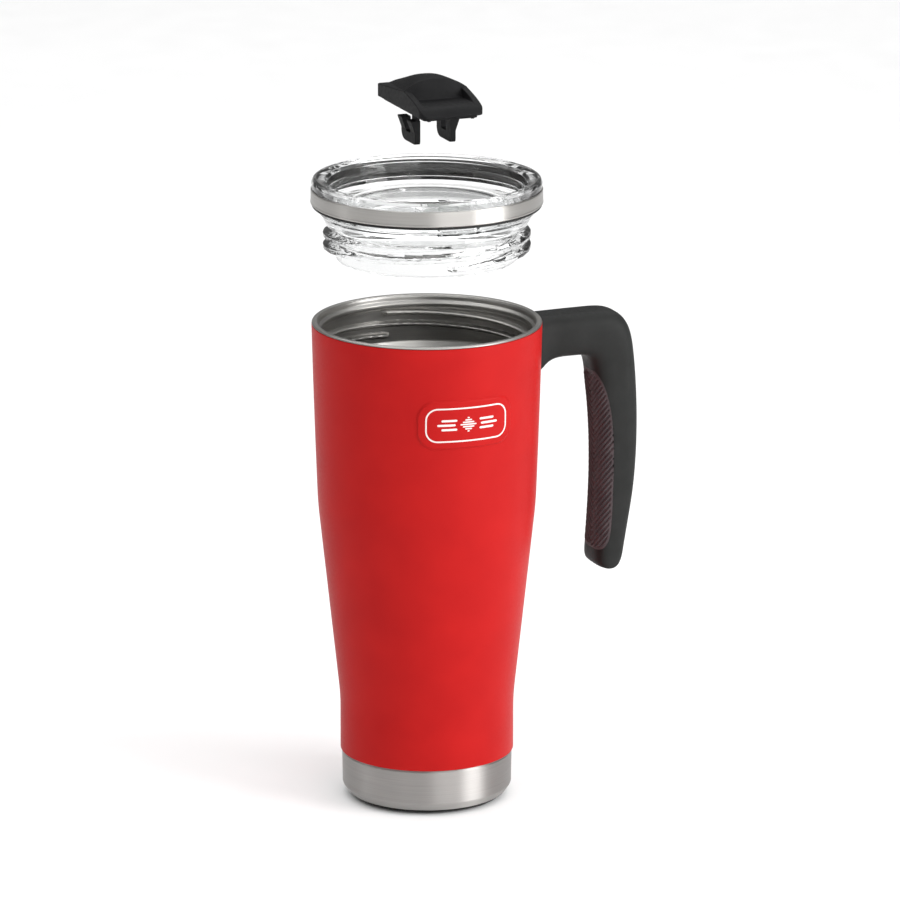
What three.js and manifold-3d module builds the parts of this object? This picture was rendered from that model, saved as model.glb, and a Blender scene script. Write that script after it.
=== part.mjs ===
// Insulated travel mug with a screw lid and a lift-out drinking slider, drawn with its
// three groups apart: mug on the ground, lid above it, slider above the lid.
// Millimetres, +Z up. Origin at the centre of the base on the ground. The handle points
// along +X and the drinking side faces -Y.
import * as THREE from 'three';
import { mergeVertices } from 'three/addons/utils/BufferGeometryUtils.js';
import Module from 'manifold-3d';

const wasm = await Module();
wasm.setup();

// ---- Driving dimensions ----
const TURN_STEPS = 40; // facets of the large turned parts
const SMALL_STEPS = 20; // facets of the small turned parts
const SHEET = 0.75; // steel sheet
const GAP = 0.3; // space left between neighbouring pieces
const MERGE = 0.02; // edges shorter than this are merged after a cut

const HEM_Z = 18.9; // lower edge of the painted shell
const HEM_RADIUS = 34.55;
const KNEE_Z = 40.5; // cup-holder part ends, taper starts
const WAIST_Z = 120; // steep taper ends
const WAIST_RADIUS = 43.15;
const SHELL_TOP_Z = 193.3;
const SHELL_TOP_RADIUS = 45.45;
const LIP_Z = 194.25; // crest of the drinking lip
const VACUUM_OFFSET = 4.0; // outside of the shell to inside of the liner
const LINER_END_Z = 30; // weld between liner tube and liner bottom

const LEAD = 9.3; // two-start thread, one turn
const THREAD_WALL = 42.3; // liner wall between the threads
const LINER_CREST = 40.0;
const LID_CREST = 40.8;
const LINER_THREAD_END = 92; // azimuth of the top end of the first start, degrees
const LINER_THREAD_TOP = 187.7;
const LID_THREAD_START = 263; // azimuth of the low end of the first start, degrees
const LID_TRAVEL = 46.5; // from the raised lid down to the seated one, five turns

const LID_NECK = 42.4;
const SKIRT_RADIUS = 35.7;
const SKIRT_Z = 219.5;
const DECK_Z = 241.5;
const DECK_THICKNESS = 1.6;
const RIM_Z = 251.8;

const SLIDER_Z = 281.3; // lower edge of the raised slider's cap
const SLIDER_TAIL = 20.8; // Y of its rear end
const SLIDER_NOSE = -28.7; // Y of its front end
const SLIDER_HALF_WIDTH = 13.1;
const NOSE_HALF_WIDTH = 9.8;
const SHOULDER_Y = -24.7; // the sides start to draw in towards the nose
const ARCH_Y = -9.4; // front edge of the dome
const RECESS_HALF_WIDTH = 9.9;
const SLIDER_STROKE = 8; // drinking opening open to shut
const BASE_Z = 280.1; // underside of the slider's base
const HOOK_Z = 276.5; // top of the hooks that hold the slider under the deck
const FOOT_Z = 267; // lowest point of the legs
const LEG_INNER = 6.3;
const LEG_OUTER = 8.5;
const NECK_OUTER = 7.9;
const HOOK_OUTER = 10;
const LEG_FRONT = -9.4; // Y of the front of the legs
const LEG_REAR = 6;

const HANDLE_HALF_WIDTH = 10;
const ARM_TOP_Z = 193;
const ARM_LOW_Z = 176.4;

// ---- Materials ----
const material = (color, roughness, metalness, more = {}) =>
  new THREE.MeshStandardMaterial({ color, roughness, metalness, ...more });

const redPaint = () => material(0xc32826, 0.42, 0.1);
const steel = () => material(0xbebab7, 0.32, 1);
const darkSteel = () => material(0x8d8a85, 0.4, 1);
const clearPlastic = () => material(0xf2f4f5, 0.06, 0, { transparent: true, opacity: 0.35 });
const clearSilicone = () => material(0xe4e6e4, 0.45, 0, { transparent: true, opacity: 0.6 });
const charcoal = () => material(0x3a3b3a, 0.55, 0);
const rubber = () => material(0x48393b, 0.85, 0);
const blackRubber = () => material(0x1c1b19, 0.8, 0);
const getterMetal = () => material(0x6f6b66, 0.7, 0.6);

// ---- Solid helpers ----
const v2 = (pairs) => pairs.map(([x, y]) => new THREE.Vector2(x, y));

function toSolid(geometry) {
  const bare = geometry.index ? geometry.toNonIndexed() : geometry.clone();
  bare.deleteAttribute('normal');
  bare.deleteAttribute('uv');
  const merged = mergeVertices(bare, 1e-4);
  const corners = merged.index.array;
  const kept = [];
  for (let i = 0; i < corners.length; i += 3) {
    const [a, b, c] = corners.slice(i, i + 3);
    if (a !== b && b !== c && c !== a) kept.push(a, b, c);
  }
  const mesh = new wasm.Mesh({
    numProp: 3,
    vertProperties: new Float32Array(merged.attributes.position.array),
    triVerts: new Uint32Array(kept),
  });
  return new wasm.Manifold(mesh);
}

function toGeometry(solid) {
  const mesh = solid.simplify(MERGE).getMesh();
  const geometry = new THREE.BufferGeometry();
  geometry.setAttribute('position', new THREE.BufferAttribute(mesh.vertProperties, 3));
  geometry.setIndex(new THREE.BufferAttribute(mesh.triVerts, 1));
  geometry.computeVertexNormals();
  return geometry;
}

// Turns a profile of [radius, height] pairs about Z. The profile runs with the material
// on its left, and starts and ends on the axis or closes on itself.
function turned(pairs, steps = TURN_STEPS) {
  return new THREE.LatheGeometry(v2(pairs), steps).rotateX(Math.PI / 2);
}

function turnedRing(pairs, steps = TURN_STEPS) {
  return turned([...pairs, pairs[0]], steps);
}

function box(low, high) {
  const size = high.map((value, i) => value - low[i]);
  const middle = high.map((value, i) => (value + low[i]) / 2);
  return new THREE.BoxGeometry(...size).translate(...middle);
}

// Joins closed rings of points, all with the same count, into a solid with flat ends.
function loft(rings) {
  const count = rings[0].length;
  const positions = rings.flat().flatMap((p) => [p.x, p.y, p.z]);
  const faces = [];
  for (let r = 0; r < rings.length - 1; r += 1) {
    for (let i = 0; i < count; i += 1) {
      const a = r * count + i;
      const b = r * count + ((i + 1) % count);
      faces.push(a, b, b + count, a, b + count, a + count);
    }
  }
  const last = (rings.length - 1) * count;
  for (let i = 1; i < count - 1; i += 1) {
    faces.push(0, i + 1, i);
    faces.push(last, last + i, last + i + 1);
  }
  const geometry = new THREE.BufferGeometry();
  geometry.setAttribute('position', new THREE.Float32BufferAttribute(positions, 3));
  geometry.setIndex(faces);
  return geometry;
}

// An outline drawn in X and Z, given depth along Y about the plane Y = 0.
function plate(shape, halfDepth, options = {}) {
  const bevel = options.bevel ?? 0;
  return new THREE.ExtrudeGeometry(shape, {
    depth: 2 * (halfDepth - bevel),
    curveSegments: options.curveSegments ?? 6,
    bevelEnabled: bevel > 0,
    bevelThickness: bevel,
    bevelSize: bevel,
    bevelOffset: -bevel,
    bevelSegments: options.bevelSegments ?? 2,
  }).translate(0, 0, bevel - halfDepth).rotateX(Math.PI / 2);
}

// A slot with round ends, or a rounded rectangle, centred on (x, y) and drawn in X and Y.
function roundedSlot(x, y, width, length, radius) {
  const w = width / 2;
  const l = length / 2;
  const shape = new THREE.Shape();
  shape.moveTo(x - w + radius, y - l);
  shape.lineTo(x + w - radius, y - l);
  shape.absarc(x + w - radius, y - l + radius, radius, -Math.PI / 2, 0);
  shape.absarc(x + w - radius, y + l - radius, radius, 0, Math.PI / 2);
  shape.absarc(x - w + radius, y + l - radius, radius, Math.PI / 2, Math.PI);
  shape.absarc(x - w + radius, y - l + radius, radius, Math.PI, 1.5 * Math.PI);
  return shape;
}

function upright(shape, lowZ, highZ, curveSegments = 4) {
  return new THREE.ExtrudeGeometry(shape, {
    depth: highZ - lowZ,
    bevelEnabled: false,
    curveSegments,
  }).translate(0, 0, lowZ);
}

// ---- Vacuum body ----
// Outside of the painted shell, from the hem to the lip.
function shellProfile(curveSteps = 3) {
  const path = new THREE.Path();
  const taper = (WAIST_RADIUS - HEM_RADIUS) / (WAIST_Z - KNEE_Z);
  const bend = 5;
  path.moveTo(HEM_RADIUS, HEM_Z);
  path.lineTo(HEM_RADIUS, KNEE_Z - bend);
  path.quadraticCurveTo(HEM_RADIUS, KNEE_Z, HEM_RADIUS + taper * bend, KNEE_Z + bend);
  path.lineTo(WAIST_RADIUS - taper * bend, WAIST_Z - bend);
  path.quadraticCurveTo(WAIST_RADIUS, WAIST_Z, WAIST_RADIUS + 0.2, WAIST_Z + bend);
  path.quadraticCurveTo(44.7, 160, SHELL_TOP_RADIUS, SHELL_TOP_Z);
  return path.getPoints(curveSteps).map((p) => [p.x, p.y]);
}

const inward = (pairs, distance) => pairs.map(([r, z]) => [r - distance, z]);

// The plain raised panel pressed into the drinking side of the shell.
function embossedPanel() {
  const panel = roundedSlot(0, 163, 40, 19, 7);
  const block = toSolid(plate(panel, 12, { curveSegments: 5 }).translate(0, -40, 0));
  const outside = shellProfile();
  const skin = toSolid(turnedRing([...inward(outside, -0.6), ...inward(outside, 0.4).reverse()]));
  return block.intersect(skin);
}

function outerShell() {
  const outside = shellProfile();
  const wall = toSolid(turnedRing([...outside, ...inward(outside, SHEET).reverse()]));
  return toGeometry(wall.add(embossedPanel()));
}

// One start of a thread, a full turn long, that fades out at both ends. The root lies
// inside the wall that carries it, and the crest points to or from the axis.
function threadStart(firstAzimuth, firstZ, root, crest, rootHalf, crestHalf) {
  const steps = TURN_STEPS;
  const fade = 4;
  const rings = [];
  for (let i = 0; i <= steps; i += 1) {
    const share = i / steps;
    const azimuth = THREE.MathUtils.degToRad(firstAzimuth + 360 * share);
    const z = firstZ + LEAD * share;
    const height = Math.min(1, 0.12 + Math.min(i, steps - i) / fade);
    const tip = root + (crest - root) * height;
    const corners = [
      [root, -rootHalf],
      [tip, -crestHalf],
      [tip, crestHalf],
      [root, rootHalf],
    ];
    if (crest > root) corners.reverse();
    rings.push(corners.map(([r, dz]) => (
      new THREE.Vector3(r * Math.cos(azimuth), r * Math.sin(azimuth), z + dz)
    )));
  }
  return toSolid(loft(rings));
}

function innerLiner() {
  const lower = inward(shellProfile(2), VACUUM_OFFSET).filter(([, z]) => z > LINER_END_Z && z < 170);
  const foot = HEM_RADIUS - VACUUM_OFFSET;
  const inside = [
    [foot, LINER_END_Z],
    ...lower,
    [41.0, 172.3],
    [THREAD_WALL, 175.4],
    [THREAD_WALL, 188.8],
    [41.75, 189.7],
    [41.75, 190.7],
    [42.8, 191.7],
    [42.8, 193.2],
    [43.3, 194.0],
  ];
  const outside = [
    [44.4, LIP_Z],
    [45.15, 194.1],
    [45.4, SHELL_TOP_Z + GAP],
    [43.6, SHELL_TOP_Z - GAP],
    [43.6, 191.7],
    [42.7, 190.4],
    [THREAD_WALL + SHEET, 188.8],
    [THREAD_WALL + SHEET, 175.2],
    [41.0 + SHEET, 172.0],
    ...inward(lower, -SHEET).reverse(),
    [foot + SHEET, LINER_END_Z],
  ];
  let wall = toSolid(turnedRing([...outside.reverse(), ...inside.reverse()]));
  for (const start of [0, 1]) {
    const low = LINER_THREAD_TOP - LEAD;
    const azimuth = LINER_THREAD_END + 180 * start;
    wall = wall.add(threadStart(azimuth, low, THREAD_WALL + 0.4, LINER_CREST, 1.25, 0.45));
  }
  return toGeometry(wall);
}

// Corner arc of a dish, from the wall down to the floor.
function cornerArc(radius, z, bend, steps) {
  const points = [];
  for (let i = 0; i <= steps; i += 1) {
    const angle = (Math.PI / 2) * (i / steps);
    points.push([radius - bend + bend * Math.cos(angle), z + bend - bend * Math.sin(angle)]);
  }
  return points;
}

function linerBottom() {
  const foot = HEM_RADIUS - VACUUM_OFFSET;
  const top = LINER_END_Z - GAP - 0.05;
  const outer = cornerArc(foot + SHEET, 13.4, 9.8, 4).reverse();
  const inner = cornerArc(foot, 14.15, 9, 4);
  const profile = [[0, 14.7], ...outer, [foot + SHEET, top], [foot, top], ...inner, [0, 15.45]];
  return turned(profile);
}

function baseCup() {
  return turnedRing([
    [26, 1.5],
    [30.6, 1.5],
    [31.9, 1.9],
    [33.0, 3.0],
    [33.6, 4.4],
    [33.7, 6],
    [33.95, 18.6],
    [33.5, 19.1],
    [33.5, 27],
    [32.75, 27],
    [32.75, 18.8],
    [33.0, 18.2],
    [32.95, 6],
    [32.4, 4.0],
    [31.4, 2.8],
    [30.3, 2.3],
    [26, 2.3],
  ]);
}

function baseDisc() {
  return turnedRing([
    [2.2, 6.0],
    [8, 6.0],
    [14, 2.7],
    [30.0, 2.7],
    [31.6, 4.6],
    [32.5, 6.4],
    [32.5, 9.5],
    [31.8, 9.5],
    [31.8, 6.6],
    [29.6, 3.5],
    [14.3, 3.5],
    [8.3, 6.8],
    [2.2, 6.8],
  ], 24);
}

function evacuationPlug() {
  return turned([[0, 4.4], [3.2, 4.4], [3.7, 4.9], [3.7, 5.7], [1.8, 5.7], [1.8, 7.4], [0, 7.4]],
    SMALL_STEPS);
}

function getter() {
  return turned([[0, 11.6], [4.6, 11.6], [5, 12], [5, 14], [0, 14]], SMALL_STEPS);
}

function basePad() {
  return turned([
    [0, 0],
    [28.8, 0],
    [29.8, 0.35],
    [30.2, 0.8],
    [30.2, 1.2],
    [25.6, 1.2],
    [25.6, 2.2],
    [22.5, 2.2],
    [22.5, 1.2],
    [0, 1.2],
  ]);
}

// ---- Handle ----
// Side view of the whole handle with its grip, in X and Z.
function handleOutline() {
  const shape = new THREE.Shape();
  shape.moveTo(36, ARM_TOP_Z - 0.4);
  shape.lineTo(72.5, ARM_TOP_Z);
  shape.bezierCurveTo(80.5, ARM_TOP_Z, 84.6, 189.5, 86, 178);
  shape.bezierCurveTo(88.6, 157, 88.6, 132, 85.6, 114);
  shape.lineTo(82.4, 96);
  shape.bezierCurveTo(81.2, 88.3, 78.5, 87.2, 75, 87.2);
  shape.bezierCurveTo(71.5, 87.2, 69.6, 88.8, 69.8, 93);
  shape.bezierCurveTo(71.4, 113, 72.2, 134, 70.2, 154);
  shape.lineTo(68.6, 168);
  shape.bezierCurveTo(68, 174.4, 66.8, ARM_LOW_Z, 62, ARM_LOW_Z);
  shape.lineTo(54, ARM_LOW_Z);
  shape.bezierCurveTo(49, ARM_LOW_Z, 46.6, 173.6, 45, 169.6);
  shape.lineTo(36, 169.6);
  return shape;
}

// Side view of the soft insert in the inner side of the grip.
function insertOutline(grow) {
  const shape = new THREE.Shape();
  shape.moveTo(60, 168.5 + grow);
  shape.lineTo(69 + grow / 2, 168.5 + grow);
  shape.bezierCurveTo(73 + grow, 163, 76 + grow, 152, 76 + grow, 135);
  shape.bezierCurveTo(76 + grow, 118, 75.6 + grow, 108, 74.6 + grow, 101);
  shape.bezierCurveTo(73.6 + grow, 96 - grow, 71 + grow, 94.4 - grow, 68, 94.4 - grow);
  shape.lineTo(60, 94.4 - grow);
  return shape;
}

function handleEnvelope() {
  return toSolid(plate(handleOutline(), HANDLE_HALF_WIDTH, { bevel: 3.5, curveSegments: 5 }));
}

const SCREW_X = [51.5, 60.5];

function handle() {
  const outside = shellProfile();
  const shellSpace = toSolid(turned([[0, outside[0][1]], ...inward(outside, -GAP - 0.1), [0, 200]]));
  const insert = toSolid(plate(insertOutline(GAP), 14));
  const pocket = toSolid(box([40, -5.5, 180.6], [65, 5.5, 189.4]));
  let body = handleEnvelope().subtract(shellSpace).subtract(insert).subtract(pocket);
  for (const x of SCREW_X) {
    const hole = new THREE.CylinderGeometry(2.3, 2.3, 12, SMALL_STEPS).rotateX(Math.PI / 2);
    const recess = new THREE.CylinderGeometry(4.1, 4.1, 6, SMALL_STEPS).rotateX(Math.PI / 2);
    body = body.subtract(toSolid(hole.translate(x, 0, 178)));
    body = body.subtract(toSolid(recess.translate(x, 0, ARM_LOW_Z - 0.4)));
  }
  return toGeometry(body);
}

function gripInsert() {
  return toGeometry(handleEnvelope().intersect(toSolid(plate(insertOutline(0), 14))));
}

function handleBracket() {
  const weldPlate = toSolid(box([45.85, -5, 181], [47.2, 5, 189]));
  const tongue = toSolid(box([47, -4.6, 182], [64.5, 4.6, 188]));
  let body = weldPlate.add(tongue);
  for (const x of SCREW_X) {
    const hole = new THREE.CylinderGeometry(2.1, 2.1, 12, SMALL_STEPS).rotateX(Math.PI / 2);
    body = body.subtract(toSolid(hole.translate(x, 0, 185)));
  }
  return toGeometry(body);
}

function handleScrew() {
  return turned([
    [0, -1.6],
    [1.3, -1.6],
    [1.3, -2.6],
    [3.2, -2.6],
    [3.8, -2.0],
    [3.8, 0],
    [1.75, 0],
    [1.75, 8],
    [1.2, 8.8],
    [0, 8.8],
  ], 12);
}

// ---- Lid ----
function lidProfile() {
  return [
    [0, DECK_Z - DECK_THICKNESS],
    [31.6, DECK_Z - DECK_THICKNESS],
    [33.4, 237.6],
    [33.5, 220.1],
    [34.1, SKIRT_Z],
    [35.1, SKIRT_Z],
    [SKIRT_RADIUS, 220.2],
    [SKIRT_RADIUS, 230.8],
    [37.2, 231.8],
    [39.4, 233.4],
    [40.9, 236.4],
    [41.2, 237.3],
    [LID_NECK, 238.6],
    [LID_NECK, 242.7],
    [44.6, 242.7],
    [44.6, 248.3],
    [45.2, 248.3],
    [45.2, 250.5],
    [44.6, 251.5],
    [43.6, RIM_Z],
    [39.8, 250.7],
    [39.1, 249.8],
    [38.5, 243.6],
    [37.9, 242.1],
    [36.6, DECK_Z],
    [0, DECK_Z],
  ];
}

// One of the two leg slots of the slider, wide at the rear where the hooks drop through.
function legSlot(side) {
  const inner = LEG_INNER - 0.5;
  const lowZ = DECK_Z - 2 * DECK_THICKNESS;
  const highZ = DECK_Z + 1;
  const rearY = LEG_REAR + 0.5;
  const from = (outer) => (side > 0 ? [inner, outer] : [-outer, -inner]);
  const [x0, x1] = from(NECK_OUTER + 0.5);
  const [w0, w1] = from(HOOK_OUTER + 0.5);
  const narrow = toSolid(box([x0, LEG_FRONT - SLIDER_STROKE - 0.5, lowZ], [x1, rearY, highZ]));
  const wide = toSolid(box([w0, LEG_FRONT - 0.5, lowZ], [w1, rearY, highZ]));
  return narrow.add(wide);
}

function lidBody() {
  let body = toSolid(turned(lidProfile()));
  const closedLow = LINER_THREAD_TOP - 1.75 - LEAD + LID_TRAVEL;
  const low = closedLow + LEAD * ((LID_THREAD_START - LINER_THREAD_END) / 360 - 0.5);
  for (const start of [0, 1]) {
    const azimuth = LID_THREAD_START + 180 * start;
    body = body.add(threadStart(azimuth, low, SKIRT_RADIUS - 0.6, LID_CREST, 1.9, 0.7));
  }
  for (const side of [-1, 1]) {
    const [low0, high0] = side > 0 ? [10.1, 11.3] : [-11.3, -10.1];
    body = body.add(toSolid(box([low0, -33, DECK_Z - 0.5], [high0, -15, DECK_Z + 0.9])));
    body = body.subtract(legSlot(side));
  }
  const drink = upright(roundedSlot(0, -30.6, 16, 6.4, 3.15), DECK_Z - 4, DECK_Z + 1);
  const vent = new THREE.CylinderGeometry(1.3, 1.3, 8, 12).rotateX(Math.PI / 2);
  body = body.subtract(toSolid(drink)).subtract(toSolid(vent.translate(0, 27, DECK_Z)));
  return toGeometry(body);
}

function trimRing() {
  return turnedRing([
    [43.0, 241.9],
    [45.3, 241.9],
    [45.75, 242.3],
    [45.55, 243.0],
    [45.5, 247.6],
    [45.2, 248.0],
    [44.95, 248.0],
    [44.95, 242.4],
    [43.0, 242.4],
  ]);
}

function lidGasket() {
  return turnedRing([
    [42.8, 241.0],
    [43.1, 240.8],
    [44.5, 240.8],
    [44.8, 241.1],
    [44.7, 241.6],
    [42.8, 241.6],
  ]);
}

// ---- Slider ----
function sliderOutline(inset) {
  const w = SLIDER_HALF_WIDTH - inset;
  const nose = SLIDER_NOSE + inset;
  const tail = SLIDER_TAIL - inset;
  const front = NOSE_HALF_WIDTH - inset / 2;
  const shape = new THREE.Shape();
  shape.moveTo(-w, tail);
  shape.lineTo(-w, SHOULDER_Y);
  shape.quadraticCurveTo(-w, nose, -front, nose);
  shape.lineTo(front, nose);
  shape.quadraticCurveTo(w, nose, w, SHOULDER_Y);
  shape.lineTo(w, tail);
  return shape;
}

// Value at y of a line through stations [y, value], from the tail to the nose.
function between(stations, y) {
  for (let i = 1; i < stations.length; i += 1) {
    const [y0, v0] = stations[i - 1];
    const [y1, v1] = stations[i];
    if (y >= y1) return v0 + ((v1 - v0) * (y - y0)) / (y1 - y0);
  }
  return stations[stations.length - 1][1];
}

// Heights above the cap's lower edge along Y: the dome's ridge, the side rims, the finger
// recess's floor, and the half width of the cap.
const RIDGE = [[SLIDER_TAIL, 6.2], [12, 8.9], [5, 10.9], [0, 11.8], [-4, 11.9], [ARCH_Y, 11.6]];
const RIM = [[ARCH_Y, 7.5], [-15, 6.4], [-20.6, 5], [SHOULDER_Y, 3.6], [-27, 2.4], [SLIDER_NOSE, 0.8]];
const FLOOR = [[ARCH_Y, 5.2], [-14.5, 5.2], [-23.9, 4.2], [-27, 2.4], [SLIDER_NOSE, 0.8]];
const HALF_WIDTHS = [
  [SLIDER_TAIL, SLIDER_HALF_WIDTH],
  [SHOULDER_Y, SLIDER_HALF_WIDTH],
  [-27, 12.3],
  [-28.2, 11.1],
  [SLIDER_NOSE, NOSE_HALF_WIDTH],
];
const WALL_SLOPE = 0.8; // the recess's rear wall leans forward this much for each mm of drop

// Height of the cap's top above its lower edge.
function capHeight(x, y) {
  const side = Math.abs(x);
  const share = Math.min(1, (SLIDER_TAIL - y) / (SLIDER_TAIL - ARCH_Y));
  const ramp = 5 + 2.5 * share;
  const foot = 7.6 + (SLIDER_HALF_WIDTH - 7.6) * share;
  const crown = (between(RIDGE, Math.max(y, ARCH_Y)) - ramp) * (1 - (side / foot) ** 2.5);
  const dome = ramp + Math.max(0, crown);
  if (y >= ARCH_Y) return dome;
  const base = side <= RECESS_HALF_WIDTH ? between(FLOOR, y) : between(RIM, y);
  return Math.max(base, dome - (ARCH_Y - y) / WALL_SLOPE);
}

function sliderCap() {
  const stations = [
    SLIDER_TAIL, 15, 10, 5, 0, -4.5, ARCH_Y, -11.5, -14.4, -17, -20.6, -23.9, SHOULDER_Y, -27, -28.2,
    SLIDER_NOSE,
  ];
  const shares = [1, 0.9, 0.79, 0.755, 0.55, 0.28, 0];
  const across = [...shares, ...shares.slice(0, -1).reverse().map((value) => -value)];
  const rings = stations.map((y) => {
    const w = between(HALF_WIDTHS, y);
    const top = across.map((share) => {
      const x = share * SLIDER_HALF_WIDTH;
      return new THREE.Vector3(share * w, y, SLIDER_Z + capHeight(x, y));
    });
    return [new THREE.Vector3(-w, y, SLIDER_Z), new THREE.Vector3(w, y, SLIDER_Z), ...top];
  });
  const room = toSolid(upright(sliderOutline(1.5), SLIDER_Z - 1, SLIDER_Z + 0.9, 3));
  return toGeometry(toSolid(loft(rings)).subtract(room));
}

// One leg in side view: a post at the front and a spring finger behind it, on one foot.
function legOutline() {
  const shape = new THREE.Shape();
  shape.moveTo(LEG_FRONT, HOOK_Z);
  shape.lineTo(LEG_FRONT, FOOT_Z + 1);
  shape.quadraticCurveTo(LEG_FRONT, FOOT_Z, LEG_FRONT + 1.2, FOOT_Z);
  shape.lineTo(1, FOOT_Z);
  shape.quadraticCurveTo(LEG_REAR, FOOT_Z, LEG_REAR, FOOT_Z + 4.5);
  shape.lineTo(LEG_REAR, HOOK_Z);
  shape.lineTo(1, HOOK_Z);
  shape.lineTo(0.8, FOOT_Z + 4);
  shape.lineTo(-4.2, FOOT_Z + 4);
  shape.lineTo(-4.2, HOOK_Z);
  return shape;
}

// Wedge on the outside of a leg between two Y, widest at its top.
function hook(side, front, rear) {
  const inner = side * (LEG_OUTER - 0.6);
  const outer = side * HOOK_OUTER;
  const ring = (y) => [
    new THREE.Vector3(inner, y, FOOT_Z + 3),
    new THREE.Vector3(outer, y, HOOK_Z - 0.6),
    new THREE.Vector3(outer, y, HOOK_Z),
    new THREE.Vector3(inner, y, HOOK_Z),
  ];
  const ends = side > 0 ? [rear, front] : [front, rear];
  return toSolid(loft(ends.map(ring)));
}

function leg(side) {
  const thickness = LEG_OUTER - LEG_INNER;
  const middle = (side * (LEG_OUTER + LEG_INNER)) / 2;
  const [neck0, neck1] = side > 0 ? [LEG_INNER, NECK_OUTER] : [-NECK_OUTER, -LEG_INNER];
  const blade = plate(legOutline(), thickness / 2, { curveSegments: 4 }).rotateZ(Math.PI / 2);
  const neck = box([neck0, LEG_FRONT + 0.6, HOOK_Z - 1], [neck1, -4.2, BASE_Z + 0.5]);
  return toSolid(blade.translate(middle, 0, 0))
    .add(hook(side, LEG_FRONT, -4.2))
    .add(hook(side, 1, LEG_REAR))
    .add(toSolid(neck));
}

function sliderBase() {
  const lip = upright(sliderOutline(1.9), BASE_Z, SLIDER_Z + 0.6, 3);
  const keyRoom = box([-4.4, -24.4, BASE_Z - 1], [4.4, -21.1, SLIDER_Z + 1]);
  let body = toSolid(lip).subtract(toSolid(keyRoom));
  for (const side of [-1, 1]) {
    const toe = box([side * 9 - 0.6, SLIDER_NOSE + 2.4, BASE_Z - 0.4],
      [side * 9 + 0.6, SLIDER_NOSE + 3.8, BASE_Z + 0.5]);
    body = body.add(leg(side)).add(toSolid(toe));
  }
  return toGeometry(body);
}

// Soft pad that shuts the drinking opening. It stays in its track when the slider is
// lifted out, and its key stands in the pocket of the slider's base.
function slideSeal() {
  const z = DECK_Z + 0.2;
  const pad = toSolid(upright(roundedSlot(0, -22.6, 18.6, 8.8, 2.6), z, z + 0.7));
  const key = toSolid(box([-4, -24, z + 0.5], [4, -21.5, z + 2.2]));
  return toGeometry(pad.add(key));
}

// ---- Assembly ----
const assembly = new THREE.Group();

function place(group, name, geometry, finish) {
  const mesh = new THREE.Mesh(geometry, finish);
  mesh.name = name;
  group.add(mesh);
  return mesh;
}

const mug = new THREE.Group();
place(mug, 'outer_shell', outerShell(), redPaint());
place(mug, 'inner_liner', innerLiner(), steel());
place(mug, 'liner_bottom', linerBottom(), darkSteel());
place(mug, 'base_cup', baseCup(), steel());
place(mug, 'base_disc', baseDisc(), darkSteel());
place(mug, 'evacuation_plug', evacuationPlug(), getterMetal());
place(mug, 'getter', getter(), getterMetal());
place(mug, 'base_pad', basePad(), blackRubber());
place(mug, 'handle', handle(), charcoal());
place(mug, 'grip_insert', gripInsert(), rubber());
place(mug, 'handle_bracket', handleBracket(), darkSteel());
SCREW_X.forEach((x, i) => {
  const screw = place(mug, `handle_screw_${i + 1}`, handleScrew(), darkSteel());
  screw.position.set(x, 0, ARM_LOW_Z + 2.3);
});

const lid = new THREE.Group();
place(lid, 'lid_body', lidBody(), clearPlastic());
place(lid, 'trim_ring', trimRing(), steel());
place(lid, 'lid_gasket', lidGasket(), blackRubber());
place(lid, 'slide_seal', slideSeal(), clearSilicone());

const slider = new THREE.Group();
place(slider, 'slider_cap', sliderCap(), charcoal());
place(slider, 'slider_base', sliderBase(), charcoal());

assembly.add(mug, lid, slider);

export default assembly;
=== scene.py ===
import math

import bmesh
import bpy
import numpy as np
from mathutils import Matrix, Vector


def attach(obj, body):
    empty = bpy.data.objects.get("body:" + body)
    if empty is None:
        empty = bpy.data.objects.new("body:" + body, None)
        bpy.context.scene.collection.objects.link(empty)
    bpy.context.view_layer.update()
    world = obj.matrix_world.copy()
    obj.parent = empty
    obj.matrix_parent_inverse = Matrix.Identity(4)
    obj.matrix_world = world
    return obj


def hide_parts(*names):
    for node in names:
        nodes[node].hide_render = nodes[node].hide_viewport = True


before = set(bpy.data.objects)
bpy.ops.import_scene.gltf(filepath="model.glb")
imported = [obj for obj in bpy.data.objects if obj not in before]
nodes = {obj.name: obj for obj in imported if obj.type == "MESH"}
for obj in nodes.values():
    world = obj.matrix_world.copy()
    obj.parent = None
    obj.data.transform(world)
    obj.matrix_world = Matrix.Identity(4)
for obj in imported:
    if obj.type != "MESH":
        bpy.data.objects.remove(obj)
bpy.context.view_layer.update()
scene = bpy.context.scene
MM = 0.001

# ---------------------------------------------------------------- dimensions, in mm
HEM_Z, HEM_R = 18.9, 34.55
KNEE_Z, WAIST_Z, WAIST_R = 40.5, 120.0, 43.15
SHELL_BEND = 5.0  # reach of the soft bends at the knee and the waist
UPPER_CURVE = (44.7, 160.0)  # control point of the curve from the waist to the top edge
SHELL_TOP_Z, SHELL_TOP_R = 193.3, 45.45
LIP_Z, LIP_DROP = 194.25, 0.02  # the lip is drawn lower, clear of the seated lid
SHEET = 0.75
VACUUM_OFFSET = 4.0
LINER_END_Z = 30.0
LEAD = 9.3
THREAD_WALL, LINER_CREST = 42.3, 40.0
SKIRT_R, LID_CREST, LID_NECK = 35.7, 40.8, 42.4
LINER_THREAD_END, LINER_THREAD_TOP = 92.0, 187.7
LINER_BEAD, LID_BEAD, LID_BEAD_TAPER = 1.2, 1.55, 16  # half widths of the threads, length of the lid's ends
THREAD_PATH_R, THREAD_TAPER_R = 41, 39  # radii at which lengths along a thread are measured
THREAD_SEAT = 1.75  # the closed lid's thread lies this much under the liner's
LID_THREAD_START, LID_TRAVEL = 263.0, 46.5
SKIRT_Z, DECK_Z, RIM_Z = 219.5, 241.5, 251.8
DECK_THICKNESS = 1.6
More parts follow.
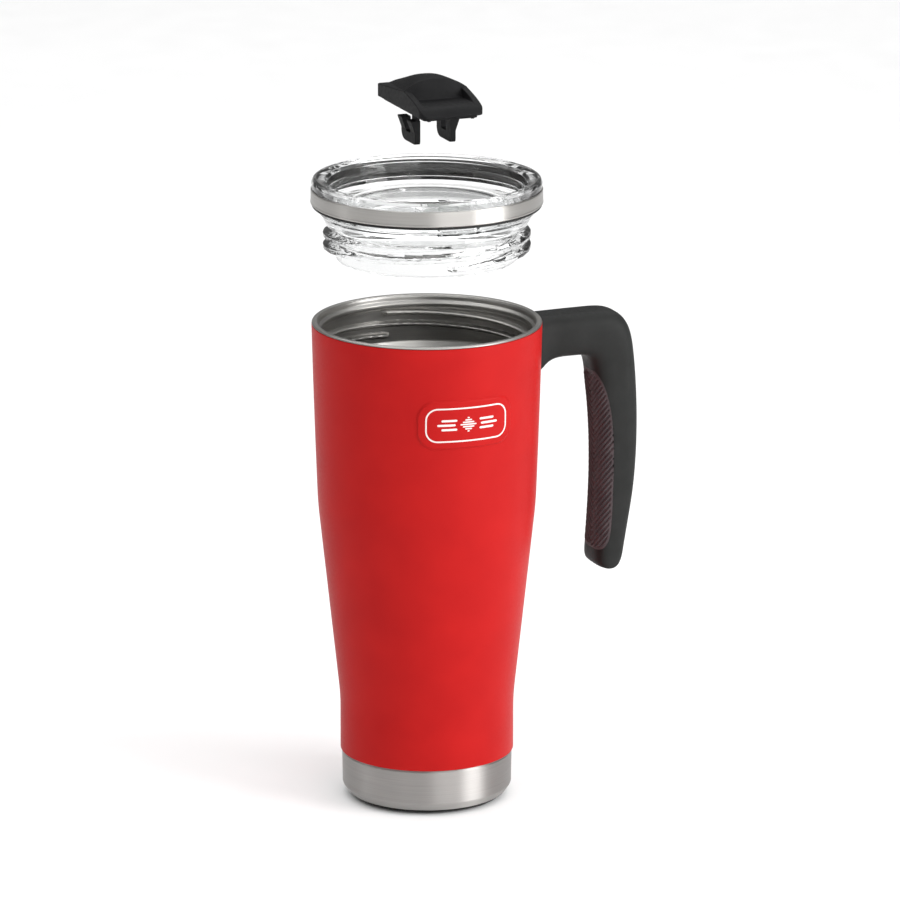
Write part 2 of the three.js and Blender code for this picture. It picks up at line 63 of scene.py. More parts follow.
DECK_CUT = (238, 243)  # heights between which holes are cut through the deck
DRINK_HOLE = (0, -30.6, 16, 6.4, 3.15)  # x, y, width, length and corner radius
VENT_Y, VENT_R = 27, 1.3
SLIDER_Z, SLIDER_TAIL, SLIDER_NOSE, SLIDER_W = 281.3, 20.8, -28.7, 13.1
NOSE_W, SHOULDER_Y, ARCH_Y, RECESS_W = 9.8, -24.7, -9.4, 10.4
SLIDER_STROKE = 8.0
BASE_Z, HOOK_Z, FOOT_Z = 280.1, 276.5, 267.0
LEG_INNER, LEG_OUTER, NECK_OUTER, HOOK_OUTER = 6.3, 8.5, 7.9, 10.0
LEG_FRONT, LEG_REAR = -9.4, 6.0
FRONT_PRONG_END, REAR_PRONG_START = -4.2, 1  # the leg's open space lies between these
SLOT_MARGIN = 0.5  # room round a leg in its slot
PANEL_Z, PANEL_PROUD = 163.0, 0.6
PANEL_HALF_W, PANEL_HALF_H, PANEL_CORNER, PANEL_EDGE = 20, 9.5, 7, 0.7
PRINT_LOW, PRINT_HIGH, PRINT_STEP = -0.03, 0.06, 0.6  # depth and height of the print, length of its pieces
SCREW_X = (51.5, 60.5)
ARM_LOW_Z = 176.4
HANDLE_DEPTH, ROOT_SPREAD = 10.0, 1.2  # half depth of the handle, and what its root adds
TAIL_ROWS, TAIL_SHARE, TAIL_GAIN, TAIL_POWER = 15, 0.68, 0.32, 2.4  # how the low end narrows
SECTION_POWER = 3.3  # 2 is an ellipse, more is squarer
INSERT_GAP, INSERT_REACH, SHELL_GAP = 0.06, 14, 0.35
RIB_PITCH, RIB_RELIEF, RIB_SLANT, RIB_START_X = 2.5, 0.8, 0.85, 69.5
RIB_BORDER, RIB_FADE = 0.8, 0.6  # plain border of the insert, and the width over which ribs rise

# Angles in degrees between faces above which an edge stays sharp.
SHARP, HANDLE_SHARP, SOFT_SHARP = 33.0, 40, 60
WELD = 0.004  # mm within which points are merged after a cut

# ---------------------------------------------------------------- finish and stage
NOISE_LOW, NOISE_HIGH = 0.3, 0.7  # the range that a noise mostly spans
ROUGH_SPREAD = 0.06
WORLD_IN_GLOSS, WORLD_ON_MATT = 0.22, 0.34
FLOOR_SIDE, FLOOR_DROP = 8.0, 0.0003  # metres
CAMERA_AZIMUTH, CAMERA_DISTANCE, CAMERA_HEIGHT, CAMERA_TILT = -21.0, 2.5, 0.813, 15.04


# ---------------------------------------------------------------- mesh helpers
def make_object(name, verts, faces):
    """Vertices in mm, faces as index lists; normals are turned outwards."""
    mesh = bpy.data.meshes.new(name)
    mesh.from_pydata([tuple(float(c) * MM for c in v) for v in verts], [], faces)
    bm = bmesh.new()
    bm.from_mesh(mesh)
    bmesh.ops.recalc_face_normals(bm, faces=bm.faces)
    if bm.calc_volume(signed=True) < 0:
        bmesh.ops.reverse_faces(bm, faces=bm.faces)
    bm.to_mesh(mesh)
    bm.free()
    obj = bpy.data.objects.new(name, mesh)
    scene.collection.objects.link(obj)
    smooth(obj)
    return obj


def smooth(obj, sharp=SHARP):
    obj.data.shade_smooth()
    obj.data.set_sharp_from_angle(angle=math.radians(sharp))


def rounded(points, radius=0.3, steps=4, closed=True):
    """Rounds the corners of a polyline of (r, z) or (r, z, corner radius)."""
    out = []
    count = len(points)
    for i, corner in enumerate(points):
        p = np.array(corner[:2], float)
        bend = corner[2] if len(corner) > 2 else radius
        if not closed and i in (0, count - 1) or bend <= 0:
            out.append(tuple(p))
            continue
        a = np.array(points[i - 1][:2], float) - p
        b = np.array(points[(i + 1) % count][:2], float) - p
        la, lb = np.linalg.norm(a), np.linalg.norm(b)
        cosine = np.clip(a @ b / (la * lb), -1, 1)
        angle = math.acos(cosine)
        if angle > math.radians(176):
            out.append(tuple(p))
            continue
        reach = min(bend / math.tan(angle / 2), 0.46 * la, 0.46 * lb)
        start, end = p + a / la * reach, p + b / lb * reach
        for k in range(steps + 1):
            t = k / steps
            out.append(tuple((1 - t) ** 2 * start + 2 * t * (1 - t) * p + t * t * end))
    return out


def dense(points, step, low, high):
    """Adds rows to a profile between two heights, so that a relief can be raised there."""
    out = [points[0]]
    for a, b in zip(points, points[1:]):
        span = math.hypot(b[0] - a[0], b[1] - a[1])
        inside = min(a[1], b[1]) < high and max(a[1], b[1]) > low
        pieces = max(1, math.ceil(span / step)) if inside else 1
        for k in range(1, pieces + 1):
            t = k / pieces
            out.append((a[0] + (b[0] - a[0]) * t, a[1] + (b[1] - a[1]) * t))
    return out


def lathe(name, rows, steps=256, relief=None, azimuths=None):
    """Turns rows of (r, z) about Z. Rows on the axis become poles; otherwise the profile closes
    on itself. relief(azimuth in degrees, r, z) gives the new radius."""
    turns = azimuths if azimuths is not None else [360.0 * i / steps for i in range(steps)]
    cosines = [(math.cos(math.radians(a)), math.sin(math.radians(a))) for a in turns]
    verts, rings, faces = [], [], []
    for r, z in rows:
        if r < 1e-6:
            rings.append([len(verts)])
            verts.append((0, 0, z))
            continue
        first = len(verts)
        for azimuth, (c, s) in zip(turns, cosines):
            radius = relief(azimuth, r, z) if relief else r
            verts.append((radius * c, radius * s, z))
        rings.append(list(range(first, first + len(turns))))
    pairs = list(zip(rings, rings[1:]))
    if len(rings[0]) > 1:
        pairs.append((rings[-1], rings[0]))
    for low, high in pairs:
        for i in range(len(turns)):
            j = (i + 1) % len(turns)
            if len(low) == 1:
                faces.append((low[0], high[j], high[i]))
            elif len(high) == 1:
                faces.append((low[i], low[j], high[0]))
            else:
                faces.append((low[i], low[j], high[j], high[i]))
    return make_object(name, verts, faces)


def loft(name, rings):
    """Joins closed rings of points into a solid with flat ends."""
    count = len(rings[0])
    verts = [p for ring in rings for p in ring]
    faces = [tuple(range(count)), tuple(len(verts) - count + i for i in range(count))]
    for r in range(len(rings) - 1):
        for i in range(count):
            j = (i + 1) % count
            faces.append((r * count + i, r * count + j, (r + 1) * count + j, (r + 1) * count + i))
    return make_object(name, verts, faces)


def prism(name, outline, low, high, axis="z"):
    """An outline given depth along an axis: (x, y) along Z, or (x, z) along Y."""
    if axis == "z":
        rings = [[(x, y, h) for x, y in outline] for h in (low, high)]
    else:
        rings = [[(x, h, z) for x, z in outline] for h in (low, high)]
    return loft(name, rings)


def block(name, low, high):
    corners = [(low[0], low[1]), (high[0], low[1]), (high[0], high[1]), (low[0], high[1])]
    return prism(name, corners, low[2], high[2])


def rounded_rectangle(x, y, width, length, radius, steps=8):
    w, h = width / 2 - radius, length / 2 - radius
    outline = []
    for cx, cy, first in ((w, h, 0), (-w, h, 90), (-w, -h, 180), (w, -h, 270)):
        for k in range(steps + 1):
            angle = math.radians(first + 90 * k / steps)
            outline.append((x + cx + radius * math.cos(angle), y + cy + radius * math.sin(angle)))
    return outline


def bezier(a, b, c, d, steps=10):
    """Points of a cubic curve after its first point."""
    out = []
    for k in range(1, steps + 1):
        t = k / steps
        out.append(tuple(
            (1 - t) ** 3 * a[i] + 3 * (1 - t) ** 2 * t * b[i] + 3 * (1 - t) * t * t * c[i] + t ** 3 * d[i]
            for i in range(2)))
    return out


def quadratic(a, b, c, steps=8):
    """Points of a quadratic curve after its first point."""
    return [tuple(
        (1 - k / steps) ** 2 * a[i] + 2 * k / steps * (1 - k / steps) * b[i] + (k / steps) ** 2 * c[i]
        for i in range(2)) for k in range(1, steps + 1)]


def resample(points, count):
    """The same line with its points evenly spaced."""
    p = np.array(points, float)
    s = np.concatenate([[0], np.cumsum(np.linalg.norm(np.diff(p, axis=0), axis=1))])
    at = np.linspace(0, s[-1], count)
    return np.stack([np.interp(at, s, p[:, i]) for i in range(p.shape[1])], axis=1)


def settle(obj, sharp=SHARP):
    """Applies the modifiers of obj and drops what they used."""
    helpers = [m.object for m in obj.modifiers if m.type == "BOOLEAN"]
    bpy.context.view_layer.update()
    mesh = bpy.data.meshes.new_from_object(obj.evaluated_get(bpy.context.evaluated_depsgraph_get()))
    obj.modifiers.clear()
    obj.data = mesh
    for helper in helpers:
        bpy.data.objects.remove(helper)
    smooth(obj, sharp)
    return obj


def cut(obj, tools, operation="DIFFERENCE", sharp=SHARP):
    for tool in tools:
        m = obj.modifiers.new("cut", "BOOLEAN")
        m.operation, m.object, m.solver = operation, tool, "EXACT"
    return settle(obj, sharp)


def clean(obj, sharp=SHARP):
    """Welds the slivers a cut leaves and drops loose points."""
    bm = bmesh.new()
    bm.from_mesh(obj.data)
    bmesh.ops.remove_doubles(bm, verts=bm.verts, dist=WELD * MM)
    bmesh.ops.dissolve_degenerate(bm, edges=bm.edges, dist=WELD * MM)
    loose = [v for v in bm.verts if not v.link_faces]
    bmesh.ops.delete(bm, geom=loose, context="VERTS")
    bm.to_mesh(obj.data)
    bm.free()
    smooth(obj, sharp)
    return obj


def flattened(obj):
    """Normals weighted by area, so that the flats beside rounded edges shade as flats."""
    weigh = obj.modifiers.new("weigh", "WEIGHTED_NORMAL")
    weigh.keep_sharp = True
    bpy.context.view_layer.update()
    obj.data = bpy.data.meshes.new_from_object(obj.evaluated_get(bpy.context.evaluated_depsgraph_get()))
    obj.modifiers.clear()
    return obj


def moulded(obj, voxel, rounds):
    """Fuses the parts of obj into one skin with softly rounded edges, as moulding leaves them."""
    remesh = obj.modifiers.new("skin", "REMESH")
    remesh.mode, remesh.voxel_size, remesh.adaptivity = "VOXEL", voxel * MM, 0.0
    soften = obj.modifiers.new("soften", "SMOOTH")
    soften.factor, soften.iterations = 0.5, rounds
    return settle(obj, SOFT_SHARP)


def join(name, parts):
    """One object from several closed bodies."""
    bm = bmesh.new()
    for part in parts:
        bm.from_mesh(part.data)
        bpy.data.objects.remove(part)
    mesh = bpy.data.meshes.new(name)
    bm.to_mesh(mesh)
    bm.free()
    obj = bpy.data.objects.new(name, mesh)
    scene.collection.objects.link(obj)
    smooth(obj)
    return obj


def placed(obj, body, finish, replaced=()):
    obj.data.materials.clear()
    obj.data.materials.append(finish)
    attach(obj, body)
    if replaced:
        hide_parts(*replaced)
    return obj


# ---------------------------------------------------------------- materials
class Finish:
    """A node material: position-driven noise for colour, roughness and bump."""

    def __init__(self, name, **sockets):
        self.material = bpy.data.materials.new(name)
        self.material.use_nodes = True
        self.tree = self.material.node_tree
        self.shader = self.tree.nodes["Principled BSDF"]
        for key, value in sockets.items():
            self.shader.inputs[key.replace("_", " ")].default_value = value
        self.place = self.node("ShaderNodeTexCoord").outputs["Object"]
        self.last_bump = None

    def node(self, kind, **values):
        made = self.tree.nodes.new(kind)
        for key, value in values.items():
            setattr(made, key, value)
        return made

    def link(self, a, b):
        self.tree.links.new(a, b)

    def noise(self, scale, detail=3.0, rough=0.5):
        """Noise with a scale per metre; three numbers stretch it."""
        stretch = scale if isinstance(scale, tuple) else (scale,) * 3
        mapping = self.node("ShaderNodeMapping")
        mapping.inputs["Scale"].default_value = stretch
        self.link(self.place, mapping.inputs["Vector"])
        noise = self.node("ShaderNodeTexNoise")
        noise.inputs["Scale"].default_value = 1.0
        noise.inputs["Detail"].default_value = detail
        noise.inputs["Roughness"].default_value = rough
        self.link(mapping.outputs["Vector"], noise.inputs["Vector"])
        return noise.outputs["Fac"]

    def color(self, value, first, second, low=NOISE_LOW, high=NOISE_HIGH):
        """Base colour that runs from first to second between two levels of value."""
        ramp = self.node("ShaderNodeValToRGB")
        for element, position, tone in zip(ramp.color_ramp.elements, (low, high), (first, second)):
            element.position = position
            element.color = (*tone, 1.0)
        self.link(value, ramp.inputs["Fac"])
        self.link(ramp.outputs["Color"], self.shader.inputs["Base Color"])

    def roughness(self, value, low, high):
        between = self.node("ShaderNodeMapRange")
        between.inputs["From Min"].default_value = NOISE_LOW
        between.inputs["From Max"].default_value = NOISE_HIGH
        between.inputs["To Min"].default_value = low
        between.inputs["To Max"].default_value = high
        self.link(value, between.inputs["Value"])
        self.link(between.outputs["Result"], self.shader.inputs["Roughness"])

    def bump(self, value, height, strength=1.0):
        """Height in mm of the whole range of value."""
        bump = self.node("ShaderNodeBump")
        bump.inputs["Distance"].default_value = height * MM
        bump.inputs["Strength"].default_value = strength
        self.link(value, bump.inputs["Height"])
        if self.last_bump:
            self.link(self.last_bump, bump.inputs["Normal"])
        self.link(bump.outputs["Normal"], self.shader.inputs["Normal"])
        self.last_bump = bump.outputs["Normal"]


def red_paint():
    f = Finish("red_paint", Specular_IOR_Level=0.07)
    f.color(f.noise(55, 2), (0.385, 0.0085, 0.0085), (0.425, 0.0100, 0.0095))
    f.roughness(f.noise(900, 2), 0.40, 0.48)
    f.bump(f.noise(1500, 2, 0.6), 0.012, 0.5)
    return f.material


def brushed(name, light, dark, rough, along=25, across=5200, aniso=0.55, bump=0.004):
    """Sheet brushed round the axis: fine streaks that run level."""
    f = Finish(name, Metallic=1.0, Anisotropic=aniso, Anisotropic_Rotation=0.25)
    streaks = f.noise((along, along, across), 4, 0.65)
    f.color(streaks, dark, light, 0.25, 0.75)
    broad = f.noise((along * 2, along * 2, across * 0.6), 3)
    f.roughness(broad, rough - ROUGH_SPREAD, rough + ROUGH_SPREAD)
    f.bump(streaks, bump, 0.6)
    tangent = f.node("ShaderNodeTangent", direction_type="RADIAL", axis="Z")
    f.link(tangent.outputs["Tangent"], f.shader.inputs["Tangent"])
    return f.material


def clear_plastic():
    f = Finish("clear_plastic", Transmission_Weight=1.0, IOR=1.46, Specular_IOR_Level=0.5)
    f.color(f.noise(30, 1), (0.89, 0.895, 0.895), (0.91, 0.915, 0.915))
    f.roughness(f.noise(60, 2), 0.0, 0.02)
    f.bump(f.noise(70, 1), 0.004, 0.15)
    return f.material


def clear_silicone():
    f = Finish("clear_silicone", Transmission_Weight=0.8, IOR=1.41)
    f.color(f.noise(200, 2), (0.78, 0.80, 0.79), (0.86, 0.87, 0.86))
    f.roughness(f.noise(500, 2), 0.35, 0.5)
    f.bump(f.noise(900, 2), 0.01, 0.4)
    return f.material


def moulded_plastic(name, light, dark, specular):
    f = Finish(name, Specular_IOR_Level=specular)
    f.color(f.noise(120, 3), dark, light)
    f.roughness(f.noise(700, 3), 0.46, 0.58)
    f.bump(f.noise(2600, 3, 0.6), 0.022, 0.55)
    return f.material


def soft_rubber(name, light, dark, rough=0.72):
    f = Finish(name, Specular_IOR_Level=0.3, Sheen_Weight=0.08, Sheen_Roughness=0.5)
    f.color(f.noise(160, 3), dark, light)
    f.roughness(f.noise(600, 2), rough - ROUGH_SPREAD, rough + ROUGH_SPREAD)
    f.bump(f.noise(2200, 2), 0.018, 0.5)
    return f.material


RED = red_paint()
BASE_STEEL = brushed("base_steel", (0.43, 0.418, 0.405), (0.35, 0.34, 0.33), 0.46, aniso=0.9)
TRIM_STEEL = brushed("trim_steel", (0.52, 0.505, 0.485), (0.43, 0.418, 0.40), 0.40, along=18, aniso=0.9)
LINER_STEEL = brushed("liner_steel", (0.44, 0.43, 0.412), (0.35, 0.342, 0.327), 0.36,
                      along=30, across=3800, aniso=0.0, bump=0.0012)
HIDDEN_STEEL = brushed("hidden_steel", (0.50, 0.49, 0.47), (0.38, 0.372, 0.355), 0.42)
SEAL_METAL = brushed("seal_metal", (0.22, 0.21, 0.20), (0.15, 0.144, 0.137), 0.6,
                     along=600, across=900, aniso=0.0)
CLEAR = clear_plastic()
SILICONE = clear_silicone()
CHARCOAL = moulded_plastic("charcoal_plastic", (0.0185, 0.019, 0.0185), (0.0145, 0.015, 0.0145), 0.12)
SLIDER_CHARCOAL = moulded_plastic("slider_charcoal", (0.0095, 0.0095, 0.010), (0.007, 0.007, 0.0075), 0.09)
# Painted reflection: a dark steel for the inner face of the trim band, standing in for the dark inside that
# it reflects.
BAND_PAINTED_REFLECTION = brushed("band_painted_reflection", (0.075, 0.073, 0.07), (0.05, 0.049, 0.047), 0.5, along=18, aniso=0.0)
GRIP = soft_rubber("grip_rubber", (0.060, 0.045, 0.048), (0.044, 0.032, 0.035))
BLACK = soft_rubber("black_rubber", (0.014, 0.0135, 0.013), (0.009, 0.0088, 0.0085), 0.62)
PRINT = brushed("print_silver", (0.74, 0.68, 0.66), (0.67, 0.61, 0.59), 0.5,
                along=900, across=900, aniso=0.0)
PRINT.node_tree.nodes["Principled BSDF"].inputs["Metallic"].default_value = 0.15


# ---------------------------------------------------------------- vacuum body
# Profiles that go through rounded() are rows of (r, z, corner radius).
def shell_profile():
    """Outside of the painted shell, from the hem to its top edge."""
    taper, bend = (WAIST_R - HEM_R) / (WAIST_Z - KNEE_Z), SHELL_BEND
    points = [(HEM_R, HEM_Z), (HEM_R, KNEE_Z - bend)]
    points += quadratic(points[-1], (HEM_R, KNEE_Z), (HEM_R + taper * bend, KNEE_Z + bend))
    points.append((WAIST_R - taper * bend, WAIST_Z - bend))
    points += quadratic(points[-1], (WAIST_R, WAIST_Z), (WAIST_R + 0.2, WAIST_Z + bend))
    points += quadratic(points[-1], UPPER_CURVE, (SHELL_TOP_R, SHELL_TOP_Z), 12)
    return points


OUTSIDE = shell_profile()


def shell_radius(z):
    return float(np.interp(z, [p[1] for p in OUTSIDE], [p[0] for p in OUTSIDE]))


def inward(points, distance):
    return [(r - distance, z) for r, z in points]


def ease(t):
    t = min(1.0, max(0.0, t))
    return t * t * (3 - 2 * t)


def rectangle_distance(u, v, half_u, half_v, radius):
    """Distance outside a rounded rectangle, negative inside."""
    a, b = abs(u) - half_u + radius, abs(v) - half_v + radius
    return math.hypot(max(a, 0), max(b, 0)) + min(max(a, b), 0) - radius


def front_azimuths():
    """Azimuths with the fine ones round the panel on the drinking side."""
    step, count, rest = 0.4, 85, 240
    half = step * count
    fine = [-90 + step * k for k in range(-count, count + 1)]
    coarse = [-90 + half + (360 - 2 * half) / rest * k for k in range(1, rest)]
    return [a % 360 for a in fine] + [a % 360 for a in coarse]


def outer_shell():
    hem = [(HEM_R - SHEET, HEM_Z, 0.2), (HEM_R, HEM_Z, 0.35)]
    inner = [(r, z, 0) for r, z in inward(OUTSIDE, SHEET)[1:]][::-1]
    middle = [(r, z, 0) for r, z in OUTSIDE[1:]]
    rows = rounded([*hem, *middle[:-1], (SHELL_TOP_R, SHELL_TOP_Z, 0.15), *inner], 0.1)
    rows = dense(rows, 0.4, PANEL_Z - PANEL_HALF_H - 2, PANEL_Z + PANEL_HALF_H + 2)

    def relief(azimuth, r, z):
        if r < shell_radius(z) - 0.3 or abs(z - PANEL_Z) > PANEL_HALF_H + 2.5:
            return r
        u = math.radians((azimuth - 270 + 180) % 360 - 180) * r
        edge = rectangle_distance(u, z - PANEL_Z, PANEL_HALF_W, PANEL_HALF_H, PANEL_CORNER)
        return r + PANEL_PROUD * ease(0.5 - edge / PANEL_EDGE)

    return lathe("painted_shell", rows, relief=relief, azimuths=front_azimuths())


def helix_bead(azimuth, z, first_azimuth, first_z, half, taper=0.0):
    """Share 0 to 1 of a thread bead's height at a point of the wall, with round ends."""
    best = 0.0
    for turn in (-1, 0, 1):
        along = (azimuth - first_azimuth) / 360 + turn
        clipped = min(1.0, max(0.0, along))
        beyond = abs(along - clipped) * 2 * math.pi * THREAD_PATH_R
        off = math.hypot(beyond, z - first_z - LEAD * clipped)
        width = half
        if taper:
            ends = min(clipped, 1 - clipped) * 2 * math.pi * THREAD_TAPER_R
            width = half * (0.35 + 0.65 * ease(ends / taper))
        if off < width:
            best = max(best, 1 - (off / width) ** 2)
    return best


def crest(share, gain, fullness):
    """A bead's profile: a gain over 1 flattens its top, a fullness under 1 fills its flanks."""
    return min(1.0, share * gain) ** fullness


def inner_liner():
    foot = HEM_R - VACUUM_OFFSET
    lower = [(r - VACUUM_OFFSET, z, 0) for r, z in OUTSIDE if LINER_END_Z < z < 170]
    inside = [
        (foot, LINER_END_Z, 0.1), *lower, (41.0, 172.3, 2.5), (THREAD_WALL, 175.4, 2.5),
        (THREAD_WALL, 188.7, 0.6), (41.6, 189.5, 0.7), (41.6, 190.9, 0.7), (42.75, 191.9, 0.6),
        (42.85, 193.2, 1.0), (43.25, LIP_Z - LIP_DROP, 0.55)]
    outside = [
        (45.0, LIP_Z - LIP_DROP, 0.6), (45.42, SHELL_TOP_Z + 0.28, 0.1), (43.6, SHELL_TOP_Z - 0.3, 0.3),
        (43.6, 191.7, 0.5), (42.7, 190.4, 0.4), (THREAD_WALL + SHEET, 188.8, 0.4),
        (THREAD_WALL + SHEET, 175.2, 2.5), (41.0 + SHEET, 172.0, 2.5),
        *[(r + SHEET, z, 0) for r, z, _ in lower][::-1], (foot + SHEET, LINER_END_Z, 0.1)]
    rows = dense(rounded([*inside, *outside], 0.2, steps=5), 0.17, 175.5, 188.8)

    def relief(azimuth, r, z):
        if abs(r - THREAD_WALL) > 0.05 or not 175 < z < 189.5:
            return r
        low = LINER_THREAD_TOP - LEAD
        share = max(helix_bead(azimuth, z, LINER_THREAD_END + 180 * k, low, LINER_BEAD) for k in (0, 1))
        return r - (THREAD_WALL - LINER_CREST) * crest(share, 1.1, 0.8)

    return lathe("steel_liner", rows, steps=320, relief=relief)


def liner_bottom():
    foot, top = HEM_R - VACUUM_OFFSET, LINER_END_Z - 0.35
    rows = rounded([
        (0, 14.7, 0), (26, 13.6, 6), (foot + SHEET, 13.4, 9), (foot + SHEET, top, 0.1),
        (foot, top, 0.1), (foot, 14.3, 8.4), (20, 14.6, 6), (8, 15.2, 3), (7.2, 15.45, 1),
        (0, 15.45, 0)], 0.3, 10, closed=False)
    return lathe("liner_floor", rows, steps=160)


def base_cup():
    rows = rounded([
        (26, 1.5, 0.2), (30.7, 1.5, 0.6), (31.7, 1.9, 0.6), (33.5, 4.5, 0.35), (33.72, 5.1, 0.35),
        (33.75, 7, 1), (33.95, 17.9, 0.4), (33.5, 18.9, 0.4), (33.5, 27, 0.2), (32.75, 27, 0.2),
        (32.75, 18.8, 0.4), (33.0, 18.2, 0.4), (32.95, 6, 2), (32.4, 4.0, 1), (31.4, 2.8, 1),
        (30.3, 2.3, 0.6), (26, 2.3, 0.2)], 0.3, 6)
    return lathe("steel_base", rows, steps=256)


def base_pad():
    rows = [(0, 0.5, 0), (19, 0.5, 0.4), (19.8, 0, 0.4), (28.8, 0, 0.5), (30.0, 0.5, 0.6), (30.2, 1.2, 0.2),
            (25.6, 1.2, 0.1), (25.6, 2.2, 0.2), (22.5, 2.2, 0.2), (22.5, 1.2, 0.1), (0, 1.2, 0)]
    return lathe("base_pad_rubber", rounded(rows, 0.2, 4, closed=False), steps=160)


placed(outer_shell(), "mug", RED, ["outer_shell"])
placed(inner_liner(), "mug", LINER_STEEL, ["inner_liner"])
placed(liner_bottom(), "mug", LINER_STEEL, ["liner_bottom"])
placed(base_cup(), "mug", BASE_STEEL, ["base_cup"])
placed(base_pad(), "mug", BLACK, ["base_pad"])


# ---------------------------------------------------------------- printed mark
def on_panel(u, z, proud):
    """A point of the drinking side, u mm round it from its middle."""
    radius = shell_radius(z) + PANEL_PROUD + proud
    angle = math.radians(-90) + u / shell_radius(z)
    return radius * math.cos(angle), radius * math.sin(angle), z


def print_patch(name, outer, hole):
    """A thin layer of print between two matched outlines given as (u, z)."""
    count = len(outer)
    layers = ((outer, PRINT_LOW), (outer, PRINT_HIGH), (hole, PRINT_HIGH), (hole, PRINT_LOW))
    verts = [on_panel(u, z, h) for ring, h in layers for u, z in ring]
    faces = []
    for r in range(4):
        for i in range(count):
            j = (i + 1) % count
            s = (r + 1) % 4
            faces.append((r * count + i, r * count + j, s * count + j, s * count + i))
    return make_object(name, verts, faces)


def print_bar(middle_u, z, width, height):
    """A bar with round ends, as a strip of short pieces."""
    half = height / 2
    count = max(3, math.ceil(width / PRINT_STEP))
    us = list(np.linspace(middle_u - width / 2, middle_u + width / 2, count))
    extra = (us[0] + half * 0.3, us[-1] - half * 0.3, us[0] + half, us[-1] - half)
    rings = []
    for u in sorted({*us, *extra}):
        past = max(0, abs(u - middle_u) - width / 2 + half) / half
        h = half * math.sqrt(max(0.04, 1 - past ** 2))
        rings.append([on_panel(u, z - h, PRINT_LOW), on_panel(u, z + h, PRINT_LOW),
                      on_panel(u, z + h, PRINT_HIGH), on_panel(u, z - h, PRINT_HIGH)])
    return loft("bar", rings)


def printed_mark():
    """A line round the panel, with a diamond of bars between two groups of three bars."""
    outer = rounded_rectangle(0, PANEL_Z, 34.0, 13.8, 4.8, 14)
    hole = rounded_rectangle(0, PANEL_Z, 32.8, 12.6, 4.2, 14)
    pairs = []
    for i in range(len(outer)):
        j = (i + 1) % len(outer)
        gap = math.hypot(outer[j][0] - outer[i][0], outer[j][1] - outer[i][1])
        pieces = max(1, math.ceil(gap / PRINT_STEP))
        for k in range(pieces):
            t = k / pieces
            pairs.append([tuple(a[d] + (b[d] - a[d]) * t for d in range(2))
                          for a, b in ((outer[i], outer[j]), (hole[i], hole[j]))])
    parts = [print_patch("frame_line", [p[0] for p in pairs], [p[1] for p in pairs])]
    pitch, widest, narrower, thick = 0.9, 6.6, 1.9, 0.55
    for row in range(-3, 4):
        parts.append(print_bar(0, PANEL_Z + row * pitch, widest - abs(row) * narrower, thick))
    for side in (-1, 1):
        for row, reach in ((1.8, 10.8), (0, 12.4), (-1.8, 10.8)):
            inner = 5.2 - 0.35 * abs(row)
            parts.append(print_bar(side * (inner + reach) / 2, PANEL_Z + row, reach - inner, 0.85))
    return join("print_mark", parts)


placed(printed_mark(), "mug", PRINT)


# ---------------------------------------------------------------- handle
def handle_sides():
    """Matched points of the handle's outer and inner side, in (x, z), from the shell to the low end."""
    arm_out = resample([(36, 192.6), (62, 192.95)], 20)
    arm_in = resample(
        [(36, 168.8), (45, 168.8)] + bezier((45, 168.8), (46.6, 172.6), (49, 175.3), (54, 175.3))
        + [(62, 175.3)], 20)
    upper = bezier((72.5, 193), (80.5, 193), (84.6, 189.5), (86, 178), 16)
    back = bezier((86, 178), (88.6, 157), (88.6, 132), (85.6, 114), 40)
    bend_out = resample([(62, 192.95), (72.5, 193)] + upper + back[:5], 36)
    bend_in = resample(
        [(62, 175.3)] + bezier((62, 175.3), (66.6, 175.3), (67.8, 173.6), (68.6, 168), 16), 36)
    grip_out = resample(back[4:] + [(82.4, 96)], 130)
    grip_in = resample(
        [(68.6, 168), (70.2, 154)] + bezier((70.2, 154), (72.2, 134), (71.4, 113), (69.8, 93), 40), 130)
    end_out = resample([(82.4, 96)] + bezier((82.4, 96), (81.4, 88.0), (79.4, 87.0), (75.1, 87.0), 20), 26)
    end_in = resample([(69.8, 93)] + bezier((69.8, 93), (69.5, 88.2), (70.6, 87.0), (74.9, 87.0), 20), 26)
    outer = np.concatenate([arm_out, bend_out[1:], grip_out[1:], end_out[1:]])
    inner = np.concatenate([arm_in, bend_in[1:], grip_in[1:], end_in[1:]])
    for _ in range(6):
        for side in (outer, inner):
            side[1:-1] = (side[:-2] + 2 * side[1:-1] + side[2:]) / 4
    return outer, inner


def handle_body(name, around=96):
    """The handle's squared-off sections, one across each pair of matched points."""
    outer, inner = handle_sides()
    rings = []
    last = len(outer) - 1
    for i, (o, n) in enumerate(zip(outer, inner)):
        middle, half = (o + n) / 2, (o - n) / 2
        root = ease((52 - middle[0]) / 12) if middle[1] > 170 else 0.0
        tail = min(1.0, (last - i) / TAIL_ROWS)
        depth = HANDLE_DEPTH + ROOT_SPREAD * root
        depth *= TAIL_SHARE + TAIL_GAIN * (1 - (1 - tail) ** TAIL_POWER) ** (1 / TAIL_POWER)
        power = 2 / SECTION_POWER
        ring = []
        for k in range(around):
            angle = 2 * math.pi * k / around
            c, s = math.cos(angle), math.sin(angle)
            x = math.copysign(abs(c) ** power, c)
            y = math.copysign(abs(s) ** power, s)
            p = middle + half * x
            ring.append((p[0], y * depth, p[1]))
        rings.append(ring)
    return loft(name, rings)


def insert_outline(grow=0.0):
    """Outline of the soft insert in (x, z), grown for the room it sits in."""
    points = [(60, 168.5 + grow), (69 + grow / 2, 168.5 + grow)]
    points += bezier(points[-1], (73 + grow, 163), (76 + grow, 152), (76 + grow, 135), 16)
    points += bezier(points[-1], (76 + grow, 118), (75.6 + grow, 108), (74.6 + grow, 101), 14)
    points += bezier(points[-1], (73.6 + grow, 96 - grow), (71 + grow, 94.4 - grow), (68, 94.4 - grow), 12)
    points.append((60, 94.4 - grow))
    return points


